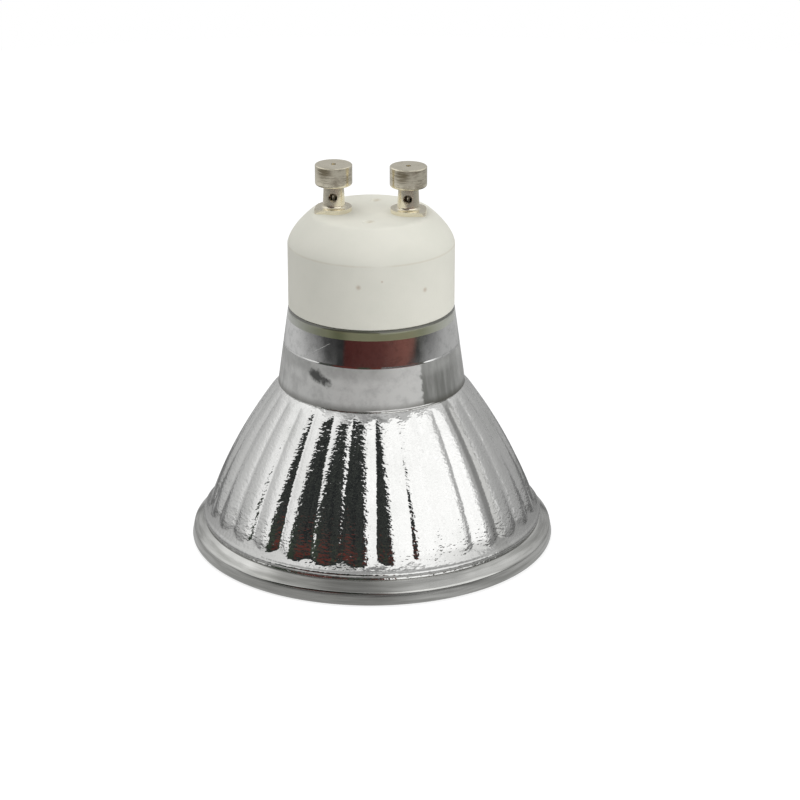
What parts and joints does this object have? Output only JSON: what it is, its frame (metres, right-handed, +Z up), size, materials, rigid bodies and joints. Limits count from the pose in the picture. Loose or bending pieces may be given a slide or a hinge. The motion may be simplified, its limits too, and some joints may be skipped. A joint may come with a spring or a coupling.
{
  "type": "spotlight bulb",
  "caption": "Reflector spotlight bulb: fluted metallised glass bell with a plain neck, ceramic base and two headed twist-lock contact pins, closed by a clear cover glass.",
  "frame": {"origin": "centre of the front rim's plane, on the optical axis, where the bulb stands on its face", "axes": "+Z up the optical axis towards the contact pins, +X from the left pin to the right pin, -Y towards the viewer of the picture"},
  "size_m": [0.05, 0.05, 0.0529],
  "materials": {
    "reflector_glass": "metallised pressed glass, bright with a fine ripple",
    "clear_glass": "clear polished",
    "adhesive": "cured translucent white",
    "base_ceramic": "matte unglazed off-white",
    "cement": "matte grainy",
    "pin_metal": "nickel plated, lightly scuffed",
    "quartz": "clear fused",
    "tungsten": "dull grey coil",
    "lead_wire": "drawn wire",
    "foil": "thin rolled foil",
    "sleeve": "woven glass fibre"
  },
  "bodies": {
    "root": {"reflector": "reflector_glass", "front_lens": "clear_glass", "lens_adhesive": "adhesive", "ceramic_base": "base_ceramic", "base_cement": "cement", "contact_pin_left": "pin_metal", "contact_pin_right": "pin_metal", "capsule": "quartz", "capsule_cement": "cement", "filament": "tungsten", "filament_support": "lead_wire", "inner_lead_left": "lead_wire", "inner_lead_right": "lead_wire", "sealing_foil_left": "foil", "sealing_foil_right": "foil", "outer_lead_left": "lead_wire", "outer_lead_right": "lead_wire", "fuse_sleeve": "sleeve"}
  },
  "joints": []
}
